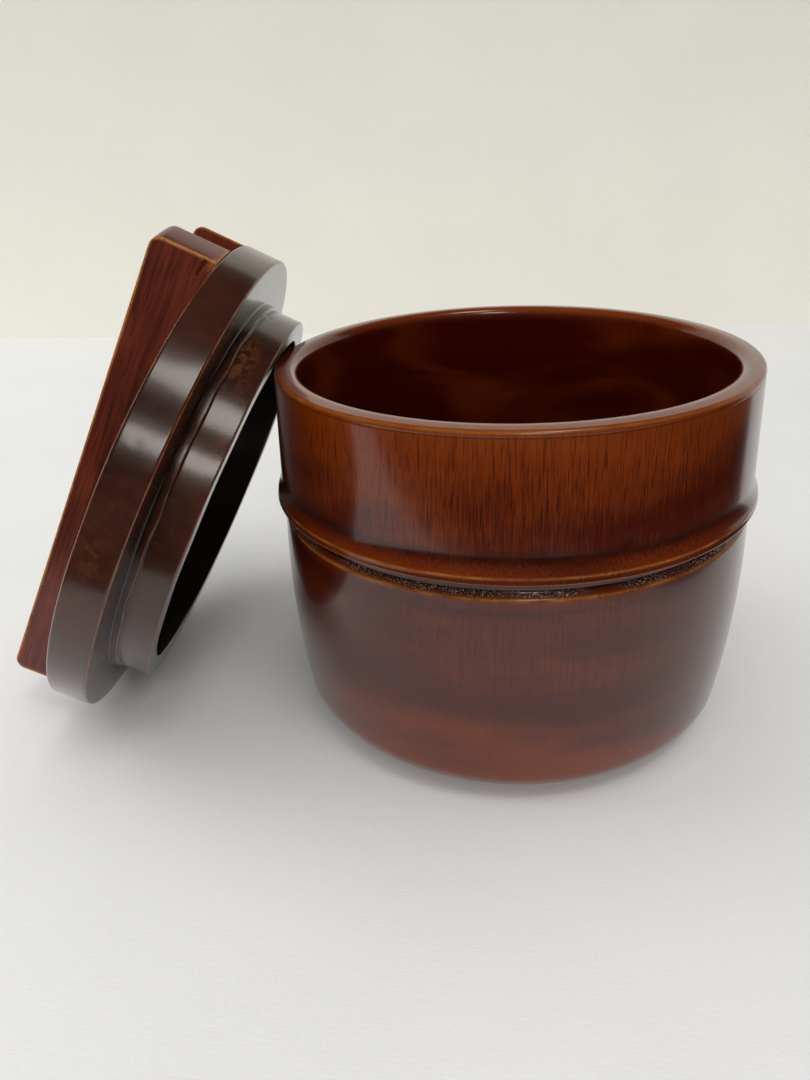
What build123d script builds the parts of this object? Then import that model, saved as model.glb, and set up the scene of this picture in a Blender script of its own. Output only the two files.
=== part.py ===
from build123d import *
import math
import os

# Turned wooden bowl for go stones, with its loose lid leaning on the left of it.
# Millimetres, +Z up. The origin is the middle of the bowl's flat base, on the table.
# The lid leans towards +X: its round side stands on the table at -X and its ring rests
# on the bowl's rim.

# ---- bowl ----
bowl_height = 106.0
rim_radius = 66.0
rim_wall = 6.3
rim_outer_round = 1.3
rim_inner_round = 2.0
floor_thickness = 10.0
inside_corner_round = 20.0
mouth_radius = rim_radius - rim_wall

# upper wall, which flares a little down to the ring moulding round the middle
wall_flare = 1.2
bead_height = 70.0
bead_stand = 1.7
bead_land = 1.8
bead_lean = 0.35
bead_edge_round = 0.3
cove_height = 5.4
cove_dip = -0.35
groove_depth = 3.4
groove_undercut = 0.5
groove_width = 4.7
wall_foot_radius = rim_radius + wall_flare
bead_radius = wall_foot_radius + bead_stand
ridge_radius = bead_radius - bead_lean
ridge_height = bead_height + bead_land
groove_floor_radius = bead_radius - groove_depth

# lower body
shoulder_inset = 1.9
shoulder_slope = 1.7
shoulder_round = 1.1
belly_lean = 7.5
foot_radius = 44.0
foot_inset = 1.7
foot_round_height = 11.0
shoulder_radius = bead_radius - shoulder_inset
shoulder_height = bead_height - groove_width

# ---- lid ----
disc_overhang = 7.1
disc_thickness = 11.2
disc_edge_round = 0.8
ring_clearance = 0.4
ring_height = 11.3
ring_wall = 6.2
ring_edge_round = 0.5
collar_step = 0.8
collar_height = 2.4
recess_into_disc = 2.0
disc_radius = rim_radius + disc_overhang
ring_radius = mouth_radius - ring_clearance
recess_radius = ring_radius - ring_wall
collar_radius = ring_radius + collar_step

# two battens glued across the lid's top
batten_height = 17.9
batten_width = 10.8
batten_spacing = 40.2
batten_end_round = 3.2

# ---- how the lid leans ----
lean_angle = 26.5
lean_turn = 3.0
lid_aside = -0.9
batten_turn = 7.3
rest_gap = 0.4


def rounded(section, corners):
    """Round each corner of an outline, given as its x and z and the radius."""
    for x, z, radius in corners:
        fillet(section.vertices().sort_by_distance((x, z, 0))[0], radius)


def make_bowl():
    """The bowl, turned as one piece from its outline."""
    bead = (bead_radius, bead_height)
    ridge = (ridge_radius, ridge_height)
    cove_middle = (wall_foot_radius - cove_dip, ridge_height + cove_height / 2)
    wall_foot = (wall_foot_radius, ridge_height + cove_height)
    shoulder = (shoulder_radius, shoulder_height)
    groove_bottom = (groove_floor_radius, shoulder_height + shoulder_slope)
    groove_top = (groove_floor_radius, bead_height + groove_undercut)

    # the rounded foot is part of an ellipse, which ends where its slope is the belly's lean
    lean = math.radians(90 - belly_lean)
    foot_round_width = shoulder_radius - foot_inset - foot_radius
    foot_arc = math.degrees(math.atan(foot_round_width / foot_round_height * math.tan(lean)))
    with BuildSketch(Plane.XZ) as section:
        with BuildLine():
            Line((0, 0), (foot_radius, 0))
            foot = EllipticalCenterArc(
                (foot_radius, foot_round_height), foot_round_width, foot_round_height,
                start_angle=-90, arc_size=foot_arc,
            )
            TangentArc(foot @ 1, shoulder, tangent=(math.cos(lean), math.sin(lean)))
            Polyline(shoulder, groove_bottom, groove_top, bead, ridge)
            ThreePointArc(ridge, cove_middle, wall_foot)
            Polyline(
                wall_foot, (rim_radius, bowl_height), (mouth_radius, bowl_height),
                (mouth_radius, floor_thickness), (0, floor_thickness), (0, 0),
            )
        make_face()
        rounded(section, [
            (*shoulder, shoulder_round),
            (*bead, bead_edge_round),
            (*ridge, bead_edge_round),
            (rim_radius, bowl_height, rim_outer_round),
            (mouth_radius, bowl_height, rim_inner_round),
            (mouth_radius, floor_thickness, inside_corner_round),
        ])
    return revolve(section.sketch, Axis.Z, 360)


def make_disc():
    """The lid's disc with the ring under it, turned as one piece. Its underside is z = 0."""
    with BuildSketch(Plane.XZ) as section:
        with BuildLine():
            Polyline(
                (0, disc_thickness), (disc_radius, disc_thickness), (disc_radius, 0),
                (collar_radius, 0), (collar_radius, -collar_height), (ring_radius, -collar_height),
                (ring_radius, -ring_height), (recess_radius, -ring_height),
                (recess_radius, recess_into_disc), (0, recess_into_disc), (0, disc_thickness),
            )
        make_face()
        rounded(section, [
            (disc_radius, disc_thickness, disc_edge_round),
            (disc_radius, 0, disc_edge_round),
            (ring_radius, -ring_height, ring_edge_round),
            (recess_radius, -ring_height, ring_edge_round),
        ])
    return revolve(section.sketch, Axis.Z, 360)


def make_batten(side):
    """One batten along Y on the disc's top, its ends cut to the disc's round side."""
    middle = side * batten_spacing / 2
    bar = Pos(middle, 0, disc_thickness) * Box(
        batten_width, 2 * disc_radius, batten_height, align=(Align.CENTER, Align.CENTER, Align.MIN)
    )
    side_of_disc = Pos(0, 0, disc_thickness) * Cylinder(
        disc_radius, batten_height, align=(Align.CENTER, Align.CENTER, Align.MIN)
    )
    bar = bar & side_of_disc
    top_edges = bar.edges().group_by(Axis.Z)[-1].sort_by(Axis.Y)
    return fillet([top_edges[0], top_edges[-1]], batten_end_round)


def make_lid():
    """The lid's pieces by node name, lying flat with the disc's underside at z = 0."""
    across = Rot(0, 0, batten_turn)
    return {
        "lid_disc": make_disc(),
        "batten_front": across * make_batten(1),
        "batten_back": across * make_batten(-1),
    }


def lean_plane(away):
    """The leaning lid's own frame, with its middle this far to the left of the bowl's."""
    lean = math.radians(lean_angle)
    turn = math.radians(lean_turn)
    # the disc's rounded lower edge touches the table
    middle_height = (
        (disc_radius - disc_edge_round) * math.cos(lean)
        + disc_edge_round * (1 - math.sin(lean))
    )
    outward = Vector(
        -math.cos(lean) * math.cos(turn), -math.cos(lean) * math.sin(turn), math.sin(lean)
    )
    level = Vector(0, 0, 1).cross(outward).normalized()
    return Plane(origin=(-away, lid_aside, middle_height), x_dir=level, z_dir=outward)


def lean_distance(bowl, disc):
    """Slide the leaning lid up to the bowl until only the rest gap is left between them."""
    away = 2 * rim_radius + disc_thickness
    step = away
    while step > 0.001:
        step = bowl.distance_to(lean_plane(away).location * disc) - rest_gap
        away -= step
    return away


def main():
    bowl = make_bowl()
    lid = make_lid()
    leaning = lean_plane(lean_distance(bowl, lid["lid_disc"])).location
    pieces = {"bowl": bowl}
    for name, piece in lid.items():
        pieces[name] = leaning * piece

    os.makedirs("parts", exist_ok=True)
    for name, piece in pieces.items():
        export_step(piece, f"parts/{name}.step")
        box = piece.bounding_box()
        print(f"{name}: {box.min} to {box.max}")


main()
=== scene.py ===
import math

import bpy
import numpy as np
from mathutils import Matrix, Vector


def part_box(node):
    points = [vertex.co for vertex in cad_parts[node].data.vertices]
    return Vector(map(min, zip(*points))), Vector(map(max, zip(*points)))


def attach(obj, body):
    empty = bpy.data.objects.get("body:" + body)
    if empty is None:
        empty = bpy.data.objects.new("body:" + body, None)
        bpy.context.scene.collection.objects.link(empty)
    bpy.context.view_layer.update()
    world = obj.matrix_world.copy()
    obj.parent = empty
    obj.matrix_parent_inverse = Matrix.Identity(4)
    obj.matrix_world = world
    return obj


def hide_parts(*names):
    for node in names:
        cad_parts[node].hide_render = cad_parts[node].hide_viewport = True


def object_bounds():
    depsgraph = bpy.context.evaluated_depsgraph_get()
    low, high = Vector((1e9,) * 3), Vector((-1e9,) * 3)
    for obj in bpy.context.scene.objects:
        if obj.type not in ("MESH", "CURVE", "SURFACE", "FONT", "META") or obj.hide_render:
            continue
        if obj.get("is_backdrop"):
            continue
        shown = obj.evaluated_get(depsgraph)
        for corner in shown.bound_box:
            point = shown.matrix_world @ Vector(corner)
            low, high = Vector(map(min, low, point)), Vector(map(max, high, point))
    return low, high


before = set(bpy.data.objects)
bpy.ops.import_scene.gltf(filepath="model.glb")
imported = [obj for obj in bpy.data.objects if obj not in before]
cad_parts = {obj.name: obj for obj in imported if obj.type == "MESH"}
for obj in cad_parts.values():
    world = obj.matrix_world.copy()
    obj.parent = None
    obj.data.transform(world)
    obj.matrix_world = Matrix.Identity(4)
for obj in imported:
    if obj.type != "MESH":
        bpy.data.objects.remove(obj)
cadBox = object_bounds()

# A lacquered go stone bowl with its loose lid leaning on the bowl's left.
# Sizes in the dictionaries are in millimetres; they become metres as a mesh is written.
mm = 0.001
fullTurn = 2 * math.pi


def roundedPath(corners):
    # corners are (radius, height, rounding, mark, spread): a rounded corner becomes the arc of
    # that radius that touches both of its straight runs; the first and last are never rounded
    # returns the outline's points, and the marked places as (point, mark, spread)
    points, marks = [], []
    for i, corner in enumerate(corners):
        x, z, rounding, mark = corner[:4]
        here = np.array((x, z), float)
        place = here
        if rounding > 0:
            back = np.array(corners[i - 1][:2], float) - here
            ahead = np.array(corners[i + 1][:2], float) - here
            back /= np.hypot(*back)
            ahead /= np.hypot(*ahead)
            half = math.acos(np.clip(back @ ahead, -1, 1)) / 2
            centre = here + (back + ahead) / np.hypot(*(back + ahead)) * rounding / math.sin(half)
            start = here + back * rounding / math.tan(half) - centre
            end = here + ahead * rounding / math.tan(half) - centre
            first = math.atan2(start[1], start[0])
            turn = (math.atan2(end[1], end[0]) - first + math.pi) % fullTurn - math.pi
            middle = 4 + int(rounding)
            angles = first + turn * np.linspace(0, 1, 2 * middle + 1)
            arc = centre + rounding * np.stack([np.cos(angles), np.sin(angles)], 1)
            points.extend(arc)
            place = arc[middle]
        else:
            points.append(here)
        if mark:
            marks.append((place, mark, corner[4]))
    return np.array(points), marks


def sampledPath(corners, fine, coarse, reach):
    # walks the outline with fine steps near the marked places and coarse ones far from them
    # a mark above 0 is a rubbed edge and one below 0 a hollow darkened by pooled lacquer and
    # painted shade: both fade with distance d as exp(-(d / spread)^2)
    points, marks = roundedPath(corners)
    along = np.concatenate([[0], np.cumsum(np.hypot(*np.diff(points, axis=0).T))])
    markAt = np.array([along[np.argmin(np.hypot(*(points - mark[0]).T))] for mark in marks])
    spacing = 0.02
    dense = np.arange(0, along[-1], spacing)
    near = np.min(np.abs(dense[:, None] - markAt[None, :]), axis=1)
    step = fine + (coarse - fine) * np.clip((near - reach) / (coarse * 2), 0, 1)
    count = np.concatenate([[0], np.cumsum(spacing / step)])[:-1]
    places = np.interp(np.linspace(0, count[-1], int(count[-1]) + 1), count, dense)
    places[-1] = along[-1]
    radius = np.interp(places, along, points[:, 0])
    height = np.interp(places, along, points[:, 1])
    rub = np.zeros_like(places)
    poolAndShade = np.zeros_like(places)
    for place, (_, mark, spread) in zip(markAt, marks):
        bump = np.exp(-((places - place) / spread) ** 2) * abs(mark)
        if mark > 0:
            rub = np.maximum(rub, bump)
        else:
            poolAndShade = np.maximum(poolAndShade, bump)
    return radius, height, places, rub, poolAndShade


def ripple(angle, along, seed, waves, turns, lengths):
    # unevenness that closes on itself: a sum of cosine waves, each with a whole number of turns
    # round the piece and a wavelength along it, at random phases
    rng = np.random.default_rng(seed)
    total = np.zeros(np.broadcast(angle, along).shape)
    for _ in range(waves):
        count = rng.integers(turns[0], turns[1] + 1)
        slant = rng.uniform(-1, 1) * fullTurn / rng.uniform(*lengths)
        total += np.cos(count * angle + slant * along + rng.uniform(0, fullTurn))
    return total / math.sqrt(waves)


def inward(waves, depth):
    # the waves cut down to between -2 and 2, then lowered so that they only take wood away
    return depth * (np.clip(waves, -2, 2) - 2)


def closedMesh(name, grid, startPole, endPole, place, values):
    # a grid of points, rows by columns, that closes round its columns, with a fan to one point
    # at each end; values are one number for each grid point, by the name of their attribute
    rows, columns = grid.shape[:2]
    points = np.concatenate([grid.reshape(-1, 3), [startPole, endPole]])
    placed = points @ np.array(place.to_3x3()).T * mm + np.array(place.translation)
    row, column = np.meshgrid(np.arange(rows - 1), np.arange(columns), indexing="ij")
    following = (column + 1) % columns
    quads = np.stack([row * columns + column, row * columns + following,
                      (row + 1) * columns + following, (row + 1) * columns + column], -1)
    first = rows * columns
    around = np.arange(columns)
    ahead = (around + 1) % columns
    top = (rows - 1) * columns
    startFan = np.stack([np.full(columns, first), ahead, around], 1)
    endFan = np.stack([np.full(columns, first + 1), top + around, top + ahead], 1)
    mesh = bpy.data.meshes.new(name)
    mesh.from_pydata(placed.tolist(), [],
                     quads.reshape(-1, 4).tolist() + startFan.tolist() + endFan.tolist())
    mesh.update()
    mesh.shade_smooth()
    for label, numbers in values.items():
        numbers = np.broadcast_to(numbers, (rows, columns))
        full = np.concatenate([numbers.reshape(-1), [numbers[0].mean(), numbers[-1].mean()]])
        layer = mesh.attributes.new(label, "FLOAT", "POINT")
        layer.data.foreach_set("value", full.astype(np.float32))
    piece = bpy.data.objects.new(name, mesh)
    bpy.context.scene.collection.objects.link(piece)
    return piece


def turnedPiece(name, corners, columns, steps, surface, place):
    # a turned solid: at angle a and place s along the outline the point is
    # (r cos a, r sin a, z), moved by the surface's depth along the outline's normal and by its
    # lift along the axis; the normal is the outline's direction turned a quarter turn outwards
    radius, height, along, rub, poolAndShade = (part[1:-1] for part in sampledPath(corners, *steps))
    angle = np.arange(columns) * fullTurn / columns
    runR, runZ = np.gradient(radius), np.gradient(height)
    length = np.maximum(np.hypot(runR, runZ), 1e-9)
    depth, lift, values = surface(angle[None, :], height[:, None], along[:, None],
                                  radius[:, None], rub[:, None], poolAndShade[:, None])
    r = radius[:, None] + depth * (runZ / length)[:, None]
    z = height[:, None] - depth * (runR / length)[:, None] + lift
    grid = np.stack([r * np.cos(angle), r * np.sin(angle), z], -1)
    ends = [(0, 0, corners[0][1]), (0, 0, corners[-1][1])]
    return closedMesh(name, grid, *ends, place, values)


def addNode(tree, kind, values=None, **settings):
    # makes a node, sets its properties, and sets or links its sockets by name or number
    node = tree.nodes.new(kind)
    for key, value in settings.items():
        setattr(node, key, value)
    for key, value in (values or {}).items():
        socket = node.inputs[key]
        if isinstance(value, bpy.types.NodeSocket):
            tree.links.new(value, socket)
        else:
            socket.default_value = value
    return node


def maths(tree, operation, a, b=0.0, clamp=False):
    node = addNode(tree, "ShaderNodeMath", {0: a, 1: b}, operation=operation, use_clamp=clamp)
    return node.outputs[0]


def ramp(tree, value, low, high):
    # 0 below low, 1 above high, smooth between
    return addNode(tree, "ShaderNodeMapRange", {"Value": value, "From Min": low, "From Max": high},
                   interpolation_type="SMOOTHSTEP").outputs[0]


def centred(tree, value, weight):
    # how far a noise is from its middle, times a weight
    return maths(tree, "MULTIPLY", maths(tree, "SUBTRACT", value, 0.5), weight)


def blendColour(tree, amount, a, b):
    node = addNode(tree, "ShaderNodeMix", {"Factor": amount}, data_type="RGBA")
    for key, value in (("A", a), ("B", b)):
        socket = [s for s in node.inputs if s.name == key and s.type == "RGBA"][0]
        if isinstance(value, bpy.types.NodeSocket):
            tree.links.new(value, socket)
        else:
            socket.default_value = (*value, 1)
    return [s for s in node.outputs if s.type == "RGBA"][0]


def noise(tree, point, scale, detail=3.0, rough=0.5, distortion=0.0):
    # scale is three numbers, waves for each millimetre along the piece's own X, Y and Z
    spread = addNode(tree, "ShaderNodeVectorMath", {0: point, 1: scale}, operation="MULTIPLY")
    return addNode(tree, "ShaderNodeTexNoise", {
        "Vector": spread.outputs[0], "Scale": 1.0, "Detail": detail, "Roughness": rough,
        "Distortion": distortion,
    }).outputs[0]


def attribute(tree, name):
    return addNode(tree, "ShaderNodeAttribute", attribute_name=name).outputs["Fac"]


# what every lacquered piece shares: where its tones, worn specks, and torn crumbs with their painted
# glints begin and end
lacquer = {
    "deepToMiddle": (0.1, 0.5),
    "middleToLight": (0.45, 0.95),
    "lineSoftness": 0.12,
    "leastGrain": 0.12,
    "speckScale": (1.9, 1.9, 1.9),
    "wornSpecks": (0.3, 0.5),
    "wornRoughness": 0.08,
    "bareSoftness": 0.16,
    "bareSpecks": (0.3, 0.55),
    "swirlEdges": (0.42, 0.66),
    "linesInside": 0.5,
    "poolAndShadeWeight": 0.95,
    "tornDark": 0.45,
    "crumbScale": (3.0, 3.0, 3.0),
    "crumbGlintEdges": (0.54, 0.64),
    "crumbRelief": 0.22,
}


def lacqueredWood(name, look, place):
    # stained wood under half-gloss lacquer, worked out in the piece's own frame in millimetres:
    # soft fibres and thin dark lines run along the grain and clouds lie over them, edges are
    # rubbed back to lighter wood, and hollows are darkened by pooled lacquer and painted shade
    material = bpy.data.materials.new(name)
    material.use_nodes = True
    tree = material.node_tree
    tree.nodes.clear()
    texture = addNode(tree, "ShaderNodeTexCoord")
    turned = addNode(tree, "ShaderNodeMapping", {
        "Vector": texture.outputs["Object"],
        "Location": place.translation, "Rotation": place.to_euler(),
    }, vector_type="TEXTURE")
    point = addNode(tree, "ShaderNodeVectorMath", {0: turned.outputs[0], "Scale": 1 / mm},
                    operation="SCALE").outputs[0]

    def alongGrain(across, along):
        return [along if axis == look["grainAxis"] else across for axis in "xyz"]

    fibres = noise(tree, point, alongGrain(*look["fibreScale"]), 4.0, 0.6)
    lines = noise(tree, point, alongGrain(*look["lineScale"]), 1.0, 0.5)
    clouds = noise(tree, point, look["cloudScale"], 3.0)
    speck = noise(tree, point, lacquer["speckScale"], 4.0, 0.65)
    rub = attribute(tree, "rub")
    poolAndShade = attribute(tree, "poolAndShade")

    grain = centred(tree, fibres, look["fibreWeight"])
    if look.get("stainedAndShaded"):
        grain = maths(tree, "MULTIPLY", grain,
                      maths(tree, "ADD", attribute(tree, "lined"), lacquer["leastGrain"]))
    tone = maths(tree, "ADD", grain, centred(tree, clouds, look["cloudWeight"]))
    tone = maths(tree, "ADD", tone, look["tone"])
    # the stain darkens the tone by height, and painted shade darkens it round the bowl's sides
    if look.get("stainedAndShaded"):
        tone = maths(tree, "SUBTRACT", tone, attribute(tree, "stainAndShade"))
    towardsMiddle = ramp(tree, tone, *lacquer["deepToMiddle"])
    colour = blendColour(tree, towardsMiddle, look["deep"], look["middle"])
    towardsLight = ramp(tree, tone, *lacquer["middleToLight"])
    colour = blendColour(tree, towardsLight, colour, look["light"])
    lineEnd = look["lineEdge"] + lacquer["lineSoftness"]
    lineDark = ramp(tree, lines, look["lineEdge"], lineEnd)
    lineDark = maths(tree, "MULTIPLY", lineDark, look["lineWeight"])
    if look.get("stainedAndShaded"):
        lineDark = maths(tree, "MULTIPLY", lineDark, attribute(tree, "lined"))
    colour = blendColour(tree, lineDark, colour, look["line"])
    if look.get("patch"):
        patches = noise(tree, point, look["patchScale"], 4.0, 0.6)
        patchEnd = look["patchEdge"] + lacquer["bareSoftness"]
        bare = maths(tree, "MULTIPLY", ramp(tree, patches, look["patchEdge"], patchEnd),
                     attribute(tree, "bare"))
        bare = maths(tree, "MULTIPLY", bare, ramp(tree, speck, *lacquer["bareSpecks"]))
        colour = blendColour(tree, bare, colour, look["patch"])
    if look.get("inside"):
        swirl = noise(tree, point, look["swirlScale"], 2.0, 0.5, 0.8)
        swirled = ramp(tree, swirl, *lacquer["swirlEdges"])
        within = blendColour(tree, swirled, look["inside"], look["swirl"])
        linesInside = maths(tree, "MULTIPLY", lineDark, lacquer["linesInside"])
        within = blendColour(tree, linesInside, within, look["line"])
        colour = blendColour(tree, attribute(tree, "inner"), colour, within)
    worn = maths(tree, "MULTIPLY", rub, ramp(tree, speck, *lacquer["wornSpecks"]))
    rubbedBack = maths(tree, "MULTIPLY", worn, look["rubWeight"])
    colour = blendColour(tree, rubbedBack, colour, look["rubbed"])
    # painted shade, together with dark lacquer pooled there, darkens the hollows
    poolAndShadeAmount = maths(tree, "MULTIPLY", poolAndShade, lacquer["poolAndShadeWeight"])
    colour = blendColour(tree, poolAndShadeAmount, colour, look["poolAndShadeColour"])

    height = maths(tree, "ADD", maths(tree, "MULTIPLY", fibres, look["fibreRelief"]),
                   maths(tree, "MULTIPLY", speck, look["peel"]))
    height = maths(tree, "SUBTRACT", height, maths(tree, "MULTIPLY", lineDark, look["lineRelief"]))
    if look.get("glint"):
        # end grain torn up by the cutter: crumbs with painted glints on dark wood
        torn = attribute(tree, "torn")
        crumbs = noise(tree, point, lacquer["crumbScale"], 2.0, 0.6)
        crumbGlints = maths(tree, "MULTIPLY", torn, ramp(tree, crumbs, *lacquer["crumbGlintEdges"]))
        tornDark = maths(tree, "MULTIPLY", torn, lacquer["tornDark"])
        colour = blendColour(tree, tornDark, colour, look["poolAndShadeColour"])
        colour = blendColour(tree, crumbGlints, colour, look["glint"])
        height = maths(tree, "ADD", height, maths(tree, "MULTIPLY", crumbGlints, lacquer["crumbRelief"]))

    rough = maths(tree, "ADD", centred(tree, clouds, look["roughVariation"]), look["roughness"])
    rough = maths(tree, "ADD", rough, maths(tree, "MULTIPLY", worn, lacquer["wornRoughness"]))
    bump = addNode(tree, "ShaderNodeBump", {"Height": height, "Distance": mm, "Strength": 1.0})
    shader = addNode(tree, "ShaderNodeBsdfPrincipled", {
        "Base Color": colour, "Roughness": rough, "Normal": bump.outputs[0],
        "IOR": look["ior"], "Coat Weight": look["coat"], "Coat Roughness": look["coatRoughness"],
        "Coat Normal": bump.outputs[0],
    })
    output = addNode(tree, "ShaderNodeOutputMaterial")
    tree.links.new(shader.outputs[0], output.inputs["Surface"])
    return material


def dress(piece, body, node, look, place):
    # gives a piece its material and says what it stands for
    piece.data.materials.append(lacqueredWood(piece.name + "Lacquer", look, place))
    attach(piece, body)
    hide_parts(node)
    print(piece.name, "made with", len(piece.data.polygons), "faces")


bowlSizes = {
    "beadTuck": 0.075,       # how far the bead's worn edge falls short of its sharp corner
    "rimInset": 2.9,         # every radius outside is taken in from the bead's
    "rimWall": 6.3,
    "rimRound": 1.1,
    "mouthRound": 2.0,
    "rimFall": 0.3,          # the outer half of the rim slopes down a little
    "rimLineDrop": 1.75,
    "rimLineDepth": 0.16,
    "rimLineHalf": 0.22,     # half the width of the line cut under the rim
    "rimTopRound": 2.0,
    "wallFootInset": 1.7,
    "wallFootHeight": 77.2,
    "coveDip": -0.35,
    "coveShade": -0.62,
    "coveSpread": 1.5,
    "ridgeHeight": 71.8,
    "ridgeInset": 0.35,
    "beadHeight": 70.0,
    "beadHollow": 0.28,
    "grooveDepth": 3.4,
    "grooveUndercut": 0.5,
    "shoulderHeight": 65.3,
    "shoulderInset": 1.9,
    "shoulderSlope": 1.7,
    "shoulderRound": 1.1,
    "shoulderLineDrop": 3.4,
    "bellyLean": 7.5,
    "footRadius": 44.0,
    "footInset": 1.7,
    "footHeight": 11.0,
    "floorThickness": 10.0,
    "insideRound": 20.0,
    "columns": 412,
    # the outline's fine step, its coarse one, and how far from a marked place the fine one holds
    "steps": (0.26, 1.8, 0.6),
    # waves are a seed, how many there are, their turns round the piece and their lengths along it
    "turningWaves": (3, 14, (1, 9), (14, 60)),
    "turningDepth": 0.025,
    "wearWaves": (8, 26, (3, 60), (1.5, 9)),
    "tornWaves": (6, 12, (2, 30), (3, 12)),
    "tornRise": 1.1,         # the torn band's height over the shoulder
    "tornSpread": 0.55,
    "tornMiddle": 0.75,
    "tornUneven": 0.5,
    "crumbWaves": (5, 46, (60, 200), (0.5, 1.8)),
    "crumbDepth": 0.1,
    "crumbLimit": 1.2,
    "rubUneven": 0.4,
    "darkUneven": 0.15,
    "underLineDark": 0.35,
    "underLineWidth": 0.6,
    "dentDark": 0.7,
    # the dark inside starts this far past the rim's top, and takes this much to come in
    "innerStart": 3.5,
    "innerFade": 1.5,
    # each dent is its angle in degrees, its height, its size and its depth
    "dents": ((-114.9, 86.2, 0.7, 0.16), (-66.8, 78.6, 1.0, 0.2)),
    # how much darker the stain lies at each height outside
    "stainHeights": (0, 15, 32, 44, 62, 66, 72, 76, 80, 90, 97, 103.5, 105.8, 106),
    "stainAmounts": (-0.02, 0.04, 0.24, 0.22, 0.2, 0.12, 0.08, 0.2, 0.16, 0.08, -0.04, -0.1, -0.16,
                     -0.14),
    "shadeTurn": 0.07,       # and how much painted shade darkens it away from its least shaded side, in degrees
    "leastShadedSide": -105,
    # how strongly the dark lines show at each of those heights
    "lineAmounts": (0.05, 0.1, 0.3, 0.45, 0.55, 0.25, 0.5, 0.9, 1, 1, 1, 0.7, 0.3, 0.1),
}

bowlLook = {
    "grainAxis": "z", "fibreScale": (2.6, 0.04), "lineScale": (3.2, 0.055),
    "cloudScale": (0.02, 0.02, 0.075), "fibreWeight": 0.55, "cloudWeight": 0.7, "tone": 0.42,
    "stainedAndShaded": True,
    "deep": (0.046, 0.0038, 0.0006), "middle": (0.135, 0.0200, 0.0010),
    "light": (0.25, 0.060, 0.0035),
    "line": (0.026, 0.0022, 0.0005), "lineEdge": 0.53, "lineWeight": 0.6,
    "inside": (0.036, 0.0020, 0.0005), "swirl": (0.085, 0.0115, 0.0012),
    "swirlScale": (0.014, 0.014, 0.05),
    "rubbed": (0.35, 0.128, 0.022), "rubWeight": 0.75, "poolAndShadeColour": (0.006, 0.0016, 0.0012),
    "glint": (0.42, 0.33, 0.24),
    "roughness": 0.2, "roughVariation": 0.08, "ior": 1.45, "coat": 0.4, "coatRoughness": 0.1,
    "fibreRelief": 0.0006, "lineRelief": 0.0006, "peel": 0.001,
}


def arcThrough(start, direction, end, count):
    # the arc that leaves start along the direction and reaches end, without its first point
    start, end, direction = (np.array(part, float) for part in (start, end, direction))
    side = np.array((-direction[1], direction[0]))
    chord = end - start
    centre = start + side * (chord @ chord / (2 * chord @ side))
    first = start - centre
    turn = 2 * math.atan2(chord @ side, chord @ direction)
    angles = turn * np.linspace(0, 1, count + 1)[1:]
    x = centre[0] + first[0] * np.cos(angles) - first[1] * np.sin(angles)
    z = centre[1] + first[0] * np.sin(angles) + first[1] * np.cos(angles)
    return list(zip(x, z))


def bowlOutline():
    # from the middle of the base, out round the foot, up the outside, over the rim and down
    # the inside to the middle of its floor
    s = bowlSizes
    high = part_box("bowl")[1]
    bead = high.x / mm + s["beadTuck"]
    top = high.z / mm
    rim = bead - s["rimInset"]
    mouth = rim - s["rimWall"]
    wallFoot = bead - s["wallFootInset"]
    ridge = bead - s["ridgeInset"]
    groove = bead - s["grooveDepth"]
    shoulder = bead - s["shoulderInset"]
    grooveLow = s["shoulderHeight"] + s["shoulderSlope"]

    # the foot is part of an ellipse that ends where its slope is the belly's lean
    lean = math.radians(90 - s["bellyLean"])
    footWidth = shoulder - s["footInset"] - s["footRadius"]
    footEnd = math.atan(footWidth / s["footHeight"] * math.tan(lean))
    foot = [(s["footRadius"] + footWidth * math.sin(a), s["footHeight"] * (1 - math.cos(a)))
            for a in np.linspace(0, footEnd, 26)[1:]]
    belly = arcThrough(foot[-1], (math.cos(lean), math.sin(lean)), (shoulder, s["shoulderHeight"]), 30)
    # the cove over the bead sags by 4 t (1 - t) below the line from the ridge to the wall's foot,
    # and its painted shade is darkest four fifths of the way up
    cove = []
    for i in range(1, 10):
        t = i / 10
        sag = (s["coveDip"] + (ridge - wallFoot) / 2) * 4 * t * (1 - t)
        mark = s["coveShade"] if i == 8 else 0
        cove.append((wallFoot + (ridge - wallFoot) * (1 - t) - sag,
                     s["ridgeHeight"] + (s["wallFootHeight"] - s["ridgeHeight"]) * t, 0,
                     mark, s["coveSpread"]))
    lineTop = top - s["rimLineDrop"]
    wallAt = rim + (wallFoot - rim) * s["rimLineDrop"] / (top - s["wallFootHeight"])

    outline = [(0, 0, 0, 0), (s["footRadius"], 0, 0, 0)]
    outline += [(x, z, 0, 0) for x, z in foot + belly[:-1]]
    outline += [
        (shoulder, s["shoulderHeight"], s["shoulderRound"], 0.72, 0.45),
        # the groove's three dark marks are painted shadow under the bead
        (groove, grooveLow, 0.2, -1.0, 0.55),
        (groove, grooveLow + 1.3, 0, -1.0, 0.7),
        (groove, s["beadHeight"] + s["grooveUndercut"], 0.2, -1.0, 0.8),
        (bead, s["beadHeight"], 0.22, 0.55, 0.18),
        (bead - s["beadHollow"], (s["beadHeight"] + s["ridgeHeight"]) / 2, 0.5, -0.35, 0.4),
        (ridge, s["ridgeHeight"], 0.22, 0.75, 0.26),
    ]
    outline += cove
    outline += [
        (wallFoot, s["wallFootHeight"], 0, 0),
        (wallAt, lineTop - s["rimLineHalf"], 0, 0),
        (wallAt - s["rimLineDepth"], lineTop, 0, -0.5, 0.3),
        (wallAt, lineTop + s["rimLineHalf"], 0, 0),
        (rim, top - s["rimFall"], s["rimRound"], 0.45, 0.4),
        ((rim + mouth) / 2, top, s["rimTopRound"], 0),
        (mouth, top, s["mouthRound"], 0),
        (mouth, s["floorThickness"], s["insideRound"], 0),
        (0, s["floorThickness"], 0, 0),
    ]
    return outline, mouth, top


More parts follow.
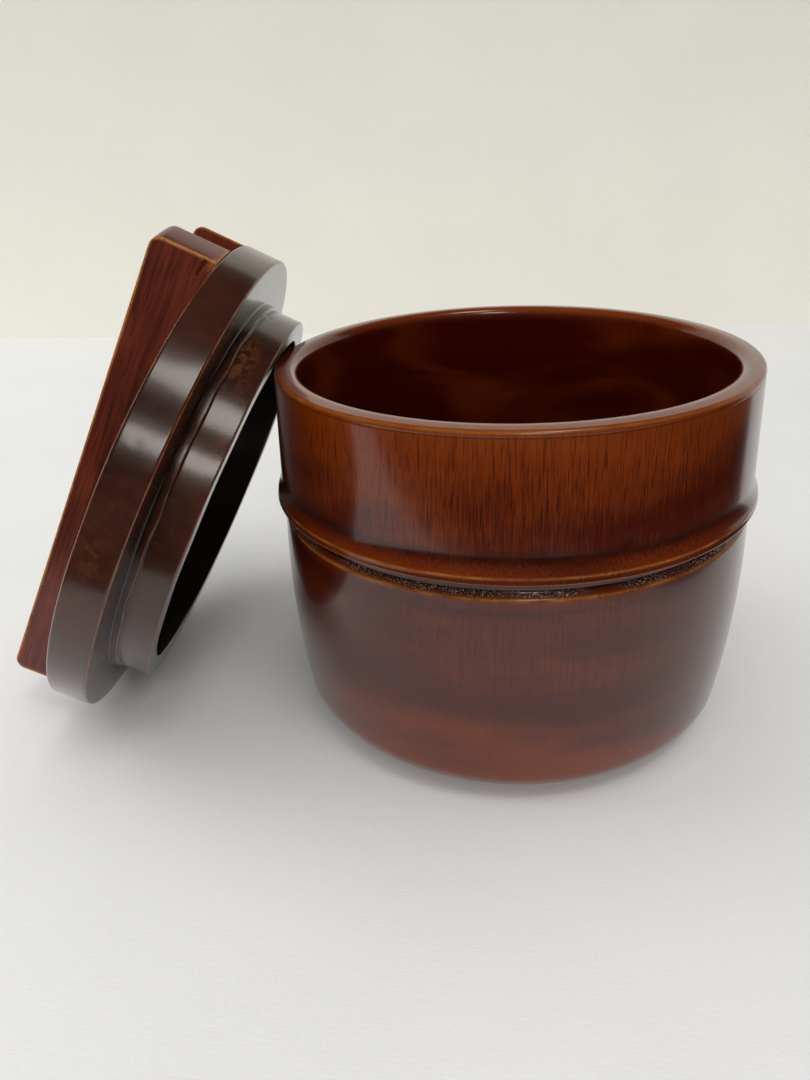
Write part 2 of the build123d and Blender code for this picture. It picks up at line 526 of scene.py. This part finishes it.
def makeBowl():
    outline, mouth, top = bowlOutline()
    s = bowlSizes
    # past this place the outline has gone over the rim and into the mouth
    points = roundedPath(outline)[0]
    along = np.concatenate([[0], np.cumsum(np.hypot(*np.diff(points, axis=0).T))])
    overRim = along[np.argmax(points[:, 1])]

    def surface(angle, height, along, radius, rub, poolAndShade):
        # slow turning waves all over, torn end grain in the groove, small dents in the wall
        outside = along < overRim
        depth = inward(ripple(angle, along, *s["turningWaves"]), s["turningDepth"])
        tornHeight = s["shoulderHeight"] + s["tornRise"]
        slope = np.exp(-((height - tornHeight) / s["tornSpread"]) ** 2) * outside
        patchy = s["tornMiddle"] + s["tornUneven"] * ripple(angle, along, *s["tornWaves"])
        torn = slope * np.clip(patchy, 0, 1)
        crumbs = ripple(angle, along, *s["crumbWaves"])
        crumbs = np.clip(crumbs, -s["crumbLimit"], s["crumbLimit"])
        depth = depth + s["crumbDepth"] * torn * crumbs
        uneven = ripple(angle, along, *s["wearWaves"])
        rubbed = np.clip(rub * (1 + s["rubUneven"] * uneven), 0, 1)
        dark = np.clip(poolAndShade * (1 + s["darkUneven"] * uneven), 0, 1)
        # a faint dark line runs round under the shoulder
        lineUnder = s["shoulderHeight"] - s["shoulderLineDrop"]
        lineDark = s["underLineDark"] * np.exp(-((height - lineUnder) / s["underLineWidth"]) ** 2)
        dark = np.maximum(dark, lineDark * outside)
        for degrees, place, size, sunk in s["dents"]:
            aside = (angle - math.radians(degrees) + math.pi) % fullTurn - math.pi
            dent = np.exp(-(np.hypot(aside * radius, height - place) / size) ** 2) * outside
            depth = depth - sunk * dent
            dark = np.maximum(dark, s["dentDark"] * dent)
        # the stain goes with the height, and painted shade adds to it by 1 - cos 2a with the angle a
        # from its least shaded side
        stainAndShade = np.interp(height, s["stainHeights"], s["stainAmounts"])
        leastShaded = math.radians(s["leastShadedSide"])
        stainAndShade = stainAndShade + s["shadeTurn"] * (1 - np.cos(2 * (angle - leastShaded)))
        inner = np.clip((along - overRim - s["innerStart"]) / s["innerFade"], 0, 1)
        values = {"rub": rubbed, "poolAndShade": dark, "torn": torn, "stainAndShade": stainAndShade, "inner": inner,
                  "lined": np.interp(height, s["stainHeights"], s["lineAmounts"])}
        return depth, 0, values

    level = Matrix.Identity(4)
    piece = turnedPiece("turnedBowl", outline, s["columns"], s["steps"], surface, level)
    dress(piece, "bowl", "bowl", bowlLook, level)


# The lid's own frame has Z out of its top and the underside of its disc at 0.
lidSizes = {
    "leanAngle": 26.5,
    "leanTurn": 3.0,
    "discRadius": 73.1,
    "discThickness": 11.2,
    "discRound": 0.8,
    "collarRadius": 60.1,
    "collarHeight": 2.4,
    "ringRadius": 59.3,
    "ringHeight": 11.3,
    "recessRadius": 53.1,
    "recessDepth": 2.0,
    "ringRound": 0.5,
    "columns": 400,
    # the steps and the waves say the same things as the bowl's
    "steps": (0.2, 1.3, 0.7),
    "turningWaves": (13, 16, (1, 14), (10, 50)),
    "turningDepth": 0.04,
    "wearWaves": (18, 26, (3, 70), (1.5, 9)),
    "stepWaves": (21, 24, (2, 26), (1, 4)),
    "stepRagged": 0.22,
    "stepHeight": 0.9,
    "stepReach": 1.5,
    "rubUneven": 0.4,
    "darkUneven": 0.2,
    "hollowDark": 0.85,
    "hollowMargin": 0.05,
    "poreDark": 0.85,
    "bareEverywhere": 0.06,
    # each pore is its angle in degrees, its height, its radius, its size and its depth
    "pores": ((88.7, -4.0, 59.3, 0.8, 0.2), (31.3, 7.2, 73.1, 0.6, 0.12),
              (82.1, 9.1, 73.1, 0.6, 0.12)),
    # each worn place is its angle, its height, its radius, half its width, half its height and
    # how much lacquer is gone
    "wornPlaces": ((64, -4.4, 59.3, 10, 2.7, 0.9), (45, -8.5, 59.3, 12, 1.6, 0.4),
                   (8, 6.5, 73.1, 7, 2.6, 0.3), (115, -6, 59.3, 8, 2.5, 0.6),
                   (160, 5, 73.1, 9, 3, 0.5), (230, -5, 59.3, 10, 3, 0.6),
                   (285, 6, 73.1, 9, 3, 0.5)),
}

lidLook = dict(bowlLook)
lidLook.update({
    "stainedAndShaded": False, "inside": None, "glint": None,
    "fibreScale": (0.7, 0.12), "lineScale": (2.2, 0.12), "cloudScale": (0.045, 0.045, 0.045),
    "fibreWeight": 0.3, "cloudWeight": 0.9, "tone": 0.38,
    "deep": (0.012, 0.0032, 0.0020), "middle": (0.036, 0.0090, 0.0042),
    "light": (0.085, 0.022, 0.006),
    "line": (0.012, 0.0030, 0.0018), "lineWeight": 0.12,
    "patchScale": (0.35, 0.35, 0.35), "patchEdge": 0.42, "patch": (0.17, 0.050, 0.008),
    "roughness": 0.23, "coat": 0.5, "coatRoughness": 0.12,
    "fibreRelief": 0.002, "lineRelief": 0.001, "peel": 0.007,
    "rubbed": (0.26, 0.080, 0.018), "rubWeight": 0.75,
})


def lidTurn():
    # columns are the lid's own X, level and towards the front, its Y, up the slope, and its Z
    lean = math.radians(lidSizes["leanAngle"])
    turn = math.radians(lidSizes["leanTurn"])
    outward = Vector((-math.cos(lean) * math.cos(turn), -math.cos(lean) * math.sin(turn),
                      math.sin(lean)))
    level = Vector((0, 0, 1)).cross(outward).normalized()
    return Matrix((level, outward.cross(level), outward)).transposed()


def placeOnNode(turn, points, node):
    # where a turned shape goes so that its box has the same middle as the CAD node's box
    turned = points @ np.array(turn).T * mm
    middle = (turned.min(axis=0) + turned.max(axis=0)) / 2
    low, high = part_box(node)
    place = turn.to_4x4()
    place.translation = (low + high) / 2 - Vector(middle)
    return place


def lidOutline():
    # from the middle of the hollow, out to the ring, round it, out under the disc and over it
    s = lidSizes
    return [
        (0, s["recessDepth"], 0, 0),
        # the marks below 0 darken the hollow's corner and the corners under the disc with painted
        # shade over dark lacquer
        (s["recessRadius"], s["recessDepth"], 1.2, -0.5, 1.5),
        (s["recessRadius"], -s["ringHeight"], s["ringRound"], 0.3, 0.4),
        (s["ringRadius"], -s["ringHeight"], s["ringRound"], 0.9, 0.2),
        (s["ringRadius"], -s["collarHeight"], 0.15, -1.0, 0.35),
        (s["collarRadius"], -s["collarHeight"], 0.25, 0.6, 0.3),
        (s["collarRadius"], 0, 0.15, -0.95, 0.9),
        (s["discRadius"], 0, s["discRound"], 0.9, 0.22),
        (s["discRadius"], s["discThickness"], s["discRound"], 0.85, 0.2),
        (0, s["discThickness"], 0, 0),
    ]


def makeDisc():
    s = lidSizes
    points = roundedPath(lidOutline())[0]
    angle = np.linspace(0, fullTurn, 721)
    rings = np.stack([np.outer(points[:, 0], np.cos(angle)), np.outer(points[:, 0], np.sin(angle)),
                      np.outer(points[:, 1], np.ones_like(angle))], -1).reshape(-1, 3)
    place = placeOnNode(lidTurn(), rings, "lid_disc")

    def surface(angle, height, along, radius, rub, poolAndShade):
        # slow waves from the turning, uneven rubbed edges and a ragged step at the ring's root
        depth = inward(ripple(angle, along, *s["turningWaves"]), s["turningDepth"])
        uneven = ripple(angle, along, *s["wearWaves"])
        rubbed = np.clip(rub * (1 + s["rubUneven"] * uneven), 0, 1)
        dark = np.clip(poolAndShade * (1 + s["darkUneven"] * uneven), 0, 1)
        # the hollow is almost black with dark lacquer and painted shade
        inHollow = radius < s["recessRadius"] + s["hollowMargin"]
        dark = np.maximum(dark, s["hollowDark"] * inHollow)
        nearStep = np.exp(-((height + s["collarHeight"]) / s["stepHeight"]) ** 2)
        nearStep = nearStep * (np.abs(radius - s["ringRadius"]) < s["stepReach"])
        lift = s["stepRagged"] * nearStep * ripple(angle, 0 * along, *s["stepWaves"])
        for degrees, level, reach, size, sunk in s["pores"]:
            aside = (angle - math.radians(degrees) + math.pi) % fullTurn - math.pi
            away = np.sqrt((aside * radius) ** 2 + (height - level) ** 2 + (radius - reach) ** 2)
            dent = np.exp(-(away / size) ** 2)
            depth = depth - sunk * dent
            dark = np.maximum(dark, s["poreDark"] * dent)
        # a little of the lacquer is worn off everywhere, and more of it at a few places
        bare = s["bareEverywhere"] + 0 * angle * along
        for degrees, level, reach, width, tall, amount in s["wornPlaces"]:
            aside = (angle - math.radians(degrees) + math.pi) % fullTurn - math.pi
            away = np.sqrt((aside * radius / width) ** 2 + ((height - level) / tall) ** 2
                           + (radius - reach) ** 2)
            bare = np.maximum(bare, amount * np.exp(-away ** 2))
        return depth, lift, {"rub": rubbed, "poolAndShade": dark, "bare": bare}

    piece = turnedPiece("lidDisc", lidOutline(), s["columns"], s["steps"], surface, place)
    dress(piece, "lid", "lid_disc", lidLook, place)


battenSizes = {
    "turn": 7.3,
    "height": 17.9,
    "width": 10.8,
    "spacing": 40.2,
    "endRound": 3.2,
    "edgeRound": 0.4,
    "sideRows": 220,
    "capRows": 16,
    "capInset": 0.97,        # the innermost row of an end, as a part of half the width
    "outlineStep": 0.35,
    "rowGather": 0.7,        # how much the rows gather towards the two ends
    "edgeWear": 0.25,
    "capWear": 0.2,
    "rubUneven": 0.35,
    "meetDark": 0.5,
    "meetHeight": 0.7,
    # these waves have their seeds apart, and each batten adds its own side to the first and last
    "wearSeed": 31,
    "planeSeed": 60,
    "wearWaves": (24, (1, 9), (2, 12)),
    "wearWavesUp": (47, 10, (1, 5), (1, 5)),
    "planeWaves": (12, (1, 3), (18, 70)),
    "planeDepth": 0.04,
    # the split in the front batten's upper end: heights over the disc where it starts and ends,
    # its length, its width and its depth
    "splitStart": 2.9,
    "splitEnd": 4.8,
    "splitLength": 6.9,
    "splitWidth": 0.3,
    "splitDepth": 0.5,
}

battenLook = dict(bowlLook)
battenLook.update({
    "stainedAndShaded": False, "inside": None, "glint": None,
    "grainAxis": "y", "fibreScale": (1.2, 0.035), "lineScale": (2.4, 0.07),
    "cloudScale": (0.05, 0.03, 0.05),
    "fibreWeight": 0.8, "cloudWeight": 0.8, "tone": 0.42,
    "deep": (0.038, 0.0038, 0.0013), "middle": (0.125, 0.0165, 0.0040),
    "light": (0.23, 0.042, 0.008),
    "line": (0.016, 0.0020, 0.0010), "lineWeight": 0.6,
    "rubbed": (0.42, 0.155, 0.03), "rubWeight": 0.8, "roughness": 0.3, "coat": 0.3,
})


def barOutline(halfWidth, halfHeight, rounding, step, wear):
    # a rectangle with rounded corners, walked round once, and how near each point is to a corner
    corners = [(-halfWidth, -halfHeight), (halfWidth, -halfHeight), (halfWidth, halfHeight),
               (-halfWidth, halfHeight)]
    x, z, edge = [], [], []
    for i, corner in enumerate(corners):
        corner = np.array(corner)
        ahead = np.array(corners[(i + 1) % 4]) - corner
        inner = corner - np.sign(corner) * rounding
        arc = math.radians(-180 + 90 * i) + np.linspace(0, math.pi / 2, 7)
        length = np.hypot(*ahead) - 2 * rounding
        # places along a side gather towards both of its ends
        count = int(length / step)
        t = (1 - np.cos(np.linspace(0, math.pi, count + 2)[1:-1])) / 2
        run = inner + rounding * np.array((np.cos(arc[-1]), np.sin(arc[-1])))
        run = run + ahead / np.hypot(*ahead) * length * t[:, None]
        x += [inner[0] + rounding * np.cos(arc), run[:, 0]]
        z += [inner[1] + rounding * np.sin(arc), run[:, 1]]
        edge += [np.ones_like(arc), np.exp(-(np.minimum(t, 1 - t) * length / wear) ** 2)]
    return np.concatenate(x), np.concatenate(z), np.concatenate(edge)


def makeBatten(name, side, node):
    # a bar carried along its length, with both ends cut to the disc's round side: at place x
    # across the lid and height z it reaches sqrt(R^2 - x^2), less the rounding of its top end
    s = battenSizes
    halfWidth, halfHeight = s["width"] / 2, s["height"] / 2
    middleX = side * s["spacing"] / 2
    middleZ = lidSizes["discThickness"] + halfHeight
    cornerRound = s["edgeRound"]
    x, z, corner = barOutline(halfWidth, halfHeight, cornerRound, s["outlineStep"], s["edgeWear"])

    # each end closes by rows that step in from its edge, over a quarter round
    a = np.linspace(0, math.pi / 2, 6)
    flat = np.linspace(halfWidth * s["capInset"], cornerRound * 1.6, s["capRows"])
    capInset = np.concatenate([flat, cornerRound * (1 - np.sin(a))])
    capBack = np.concatenate([np.zeros_like(flat), cornerRound * (1 - np.cos(a))])
    capRub = np.exp(-(np.clip(capInset - cornerRound, 0, None) / s["capWear"]) ** 2)
    rows = s["sideRows"]
    even = np.linspace(0, 1, rows + 2)[1:-1]
    gather = s["rowGather"]
    t = gather * (1 - np.cos(math.pi * even)) / 2 + (1 - gather) * even
    inset = np.concatenate([capInset, np.zeros(rows), capInset[::-1]])[:, None]
    px = middleX + x[None, :] * (1 - inset / halfWidth)
    pz = z[None, :] * (1 - inset / halfHeight)
    intoRound = np.clip(pz - (halfHeight - s["endRound"]), 0, s["endRound"])
    reach = np.sqrt(lidSizes["discRadius"] ** 2 - px ** 2)
    reach = reach - (s["endRound"] - np.sqrt(s["endRound"] ** 2 - intoRound ** 2))
    cap = len(capInset)
    y = np.empty_like(px)
    y[:cap] = -(reach[:cap] - capBack[:, None])
    y[-cap:] = reach[-cap:] - capBack[::-1, None]
    startY, endY = y[cap - 1], y[-cap]
    y[cap:-cap] = startY + (endY - startY) * t[:, None]

    rub = np.broadcast_to(corner[None, :], px.shape).copy()
    rub[:cap] = np.where(inset[:cap] < 1, np.maximum(rub[:cap], capRub[:, None]), capRub[:, None])
    rub[-cap:] = np.where(inset[-cap:] < 1, np.maximum(rub[-cap:], capRub[::-1, None]),
                          capRub[::-1, None])
    toEnd = np.minimum(y - startY, endY - y)[cap:-cap]
    rub[cap:-cap] = np.maximum(rub[cap:-cap], np.exp(-(toEnd / s["edgeWear"]) ** 2))
    uneven = ripple(px / 5, y, s["wearSeed"] + side, *s["wearWaves"])
    uneven = uneven + 0.5 * ripple(pz / 3, y, *s["wearWavesUp"])
    rub = np.clip(rub * (1 + s["rubUneven"] * uneven), 0, 1)
    # the bar is darker towards the place where it meets the disc
    low = np.clip((-halfHeight + s["meetHeight"] - pz) / s["meetHeight"], 0, 1)
    poolAndShade = s["meetDark"] * low ** 2

    # planing leaves the faces a little wavy along the grain
    out = np.sign(x)[None, :] * (inset == 0)
    waves = ripple(pz / 4, y, s["planeSeed"] + side, *s["planeWaves"])
    px = px + out * inward(waves, s["planeDepth"])
    if side > 0:
        # the split narrows away from the end, and a paler chip lies between it and the disc
        back = np.clip((endY[None, :] - y) / s["splitLength"], 0, 1)
        level = -halfHeight + s["splitStart"] + (s["splitEnd"] - s["splitStart"]) * back
        level = level + 0.15 * np.sin(5 * y)
        gape = np.exp(-((pz - level) / (s["splitWidth"] * (1.15 - back))) ** 2) * (back < 0.99)
        gape = gape * (px > middleX + 0.8 * halfWidth) * (inset == 0)
        px = px - s["splitDepth"] * gape
        chip = np.clip((level - 0.5 - pz) / 0.8, 0, 1) * np.clip(1.1 - 2.2 * back, 0, 1)
        chip = chip * (px > middleX + 0.8 * halfWidth) * (inset == 0)
        rub = np.maximum(rub, 0.4 * chip)
        poolAndShade = np.maximum(poolAndShade, gape)
    grid = np.stack([px, y, pz + middleZ], -1)

    turn = lidTurn() @ Matrix.Rotation(math.radians(s["turn"]), 3, "Z")
    place = placeOnNode(turn, grid.reshape(-1, 3), node)
    ends = [(middleX, grid[0, :, 1].mean(), middleZ), (middleX, grid[-1, :, 1].mean(), middleZ)]
    piece = closedMesh(name, grid, *ends, place, {"rub": rub, "poolAndShade": poolAndShade})
    dress(piece, "lid", node, battenLook, place)


room = {
    "tableColour": (0.82, 0.825, 0.83),
    "wallColour": (0.86, 0.845, 0.765),
    "wallShadeFade": 0.17,
    "wallLeft": (-1.6, 0.478),
    "wallRight": (1.6, 0.518),
    "wallHeight": 0.55,
    "tableFront": -1.2,
    # the part of the table that the lacquer sees ends here, and all past it is dark
    "litEdge": ((-1.6, -0.222), (0.08, -0.222), (0.165, -0.12), (0.205, 0.08), (0.36, 0.22),
                (1.6, 0.32)),
    "darkColour": (0.012, 0.010, 0.009),
    "darkLift": 0.4,
    "fillStrength": 0.38,
    "fillSeen": 0.03,
    "backdropSeen": 0.72,
    "fillColour": (1.0, 0.99, 0.97),
}

# each light: where it is, what it points at, its size, its power, whether the lacquer shows it
# and its colour
lights = {
    "frontFill": ((-0.05, -1.3, 0.45), (0, 0, 0.0), (1.5, 0.8), 7, False, (1, 1, 1)),
    "leftFill": ((-1.15, 0.1, 0.9), (-0.25, 0, 0), (0.8, 0.8), 4.6, False, (1, 1, 1)),
    "softCeiling": ((0.0, -0.2, 1.6), (0, 0.05, 0), (1.9, 1.7), 8, False, (1, 0.995, 0.985)),
    "nearLamp": ((0.5, -0.66, 1.75), (-0.07, -0.05, 0.1), (0.5, 0.4), 4.2, True, (1, 0.96, 0.9)),
    "farLamp": ((0.42, -1.95, 1.65), (-0.07, -0.05, 0.1), (0.56, 0.38), 5.6, True, (1, 0.96, 0.9)),
}

camera = {
    "spot": (0.0, -0.22705, 0.16283),
    "turnLeft": 8.157,
    "tiltDown": 26.951,
    "roll": -2.757,
    "lens": 27.033,
    "sensorHeight": 36.0,
    "clipStart": 0.01,
}


# what the table and the wall share
plain = {
    "specular": 0.2,
    "stretch": 0.2,
    "cloudScale": (0.012, 0.012, 0.012),
    "cloudEdges": (0.3, 0.7),
    "cloudShade": 0.975,
    "threadEdges": (0.7, 1.3),
    "threadWeight": 0.12,
    "threadShade": 0.9,
    "relief": 0.5,
    "shadeFadeHeight": 0.25,
}


def plainMaterial(name, colour, roughness, grain, depth, shadeFade=0.0):
    # a matt colour with a fine weave: two crossed stretched noises as relief and faint shading;
    # the shade fade is painted shade that darkens it with height, fully at the fade's height
    material = bpy.data.materials.new(name)
    material.use_nodes = True
    tree = material.node_tree
    shader = tree.nodes["Principled BSDF"]
    shader.inputs["Roughness"].default_value = roughness
    shader.inputs["Specular IOR Level"].default_value = plain["specular"]
    texture = addNode(tree, "ShaderNodeTexCoord")
    point = addNode(tree, "ShaderNodeVectorMath", {0: texture.outputs["Object"], "Scale": 1 / mm},
                    operation="SCALE").outputs[0]
    stretched = grain * plain["stretch"]
    weft = noise(tree, point, (stretched, grain, grain), 2.0)
    warp = noise(tree, point, (grain, stretched, stretched), 2.0)
    threads = maths(tree, "ADD", weft, warp)
    soft = noise(tree, point, plain["cloudScale"], 3.0)
    clouded = [c * plain["cloudShade"] for c in colour]
    tint = blendColour(tree, ramp(tree, soft, *plain["cloudEdges"]), clouded, colour)
    threaded = [c * plain["threadShade"] for c in colour]
    raised = maths(tree, "MULTIPLY", ramp(tree, threads, *plain["threadEdges"]), plain["threadWeight"])
    tint = blendColour(tree, raised, tint, threaded)
    # painted shade: the colour darkens with height
    across = addNode(tree, "ShaderNodeSeparateXYZ", {0: texture.outputs["Object"]})
    high = maths(tree, "MULTIPLY", across.outputs["Z"], 1 / plain["shadeFadeHeight"], True)
    high = maths(tree, "MULTIPLY", high, shadeFade)
    tint = blendColour(tree, high, tint, (0, 0, 0))
    tree.links.new(tint, shader.inputs["Base Color"])
    bump = addNode(tree, "ShaderNodeBump", {
        "Height": threads, "Distance": depth * mm, "Strength": plain["relief"],
    })
    tree.links.new(bump.outputs[0], shader.inputs["Normal"])
    return material


def sheet(name, corners, material):
    mesh = bpy.data.meshes.new(name)
    mesh.from_pydata(corners, [], [tuple(range(len(corners)))])
    mesh.materials.append(material)
    piece = bpy.data.objects.new(name, mesh)
    bpy.context.scene.collection.objects.link(piece)
    piece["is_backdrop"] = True
    return piece


def makeRoom():
    r = room
    left, right = r["wallLeft"], r["wallRight"]
    cloth = plainMaterial("tableCloth", r["tableColour"], 0.85, 1.6, 0.12)
    paper = plainMaterial("paleWall", r["wallColour"], 0.9, 0.5, 0.25, r["wallShadeFade"])
    front = r["tableFront"]
    sheet("table", [(left[0], front, 0), (right[0], front, 0), (*right, 0), (*left, 0)], cloth)
    high = r["wallHeight"]
    sheet("wall", [(*left, 0), (*right, 0), (*right, high), (*left, high)], paper)

    # what the lacquer faces in the front of a real room is dark: this sheet lies on the table
    # where only reflections see it
    black = bpy.data.materials.new("darkRoom")
    black.use_nodes = True
    shader = black.node_tree.nodes["Principled BSDF"]
    shader.inputs["Base Color"].default_value = (*r["darkColour"], 1)
    shader.inputs["Roughness"].default_value = 1.0
    shader.inputs["Specular IOR Level"].default_value = 0.0
    edge = [*r["litEdge"], (right[0], front), (left[0], front)]
    dark = sheet("darkFloor", [(x, y, r["darkLift"] * mm) for x, y in reversed(edge)], black)
    dark.visible_camera = dark.visible_diffuse = dark.visible_shadow = False
    dark.visible_transmission = dark.visible_volume_scatter = False

    world = bpy.data.worlds.new("softRoom")
    bpy.context.scene.world = world
    world.use_nodes = True
    tree = world.node_tree
    background = tree.nodes["Background"]
    background.inputs["Color"].default_value = (*r["fillColour"], 1)
    rays = addNode(tree, "ShaderNodeLightPath")
    # reflections see a dark room, and the camera a pale one past the table and the wall
    glossy = maths(tree, "MULTIPLY", rays.outputs["Is Glossy Ray"], r["fillSeen"] - r["fillStrength"])
    direct = maths(tree, "MULTIPLY", rays.outputs["Is Camera Ray"],
                   r["backdropSeen"] - r["fillStrength"])
    strength = maths(tree, "ADD", maths(tree, "ADD", glossy, direct), r["fillStrength"])
    tree.links.new(strength, background.inputs["Strength"])

    for name, (spot, aim, size, power, shown, colour) in lights.items():
        data = bpy.data.lights.new(name, "AREA")
        data.shape = "RECTANGLE"
        data.size, data.size_y = size
        data.energy = power
        data.color = colour
        lamp = bpy.data.objects.new(name, data)
        lamp.location = spot
        lamp.rotation_euler = (Vector(aim) - Vector(spot)).to_track_quat("-Z", "Y").to_euler()
        lamp.visible_glossy = shown
        bpy.context.scene.collection.objects.link(lamp)
    print("room and lights made")


def makeCamera():
    data = bpy.data.cameras.new("camera")
    data.sensor_fit = "VERTICAL"
    data.sensor_height = camera["sensorHeight"]
    data.lens = camera["lens"]
    data.clip_start = camera["clipStart"]
    piece = bpy.data.objects.new("camera", data)
    turn = (Matrix.Rotation(math.radians(camera["turnLeft"]), 4, "Z")
            @ Matrix.Rotation(math.radians(90 - camera["tiltDown"]), 4, "X")
            @ Matrix.Rotation(math.radians(camera["roll"]), 4, "Z"))
    piece.matrix_world = Matrix.Translation(camera["spot"]) @ turn
    bpy.context.scene.collection.objects.link(piece)
    bpy.context.scene.camera = piece
    bpy.context.scene.view_settings.view_transform = "Standard"
    print("camera placed")


makeBowl()
makeDisc()
makeBatten("frontBatten", 1, "batten_front")
makeBatten("backBatten", -1, "batten_back")
makeRoom()
makeCamera()

boxes = {"cad": cadBox, "visual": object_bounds()}
boxes = {label: [list(corner) for corner in box] for label, box in boxes.items()}
print("boxes", boxes)
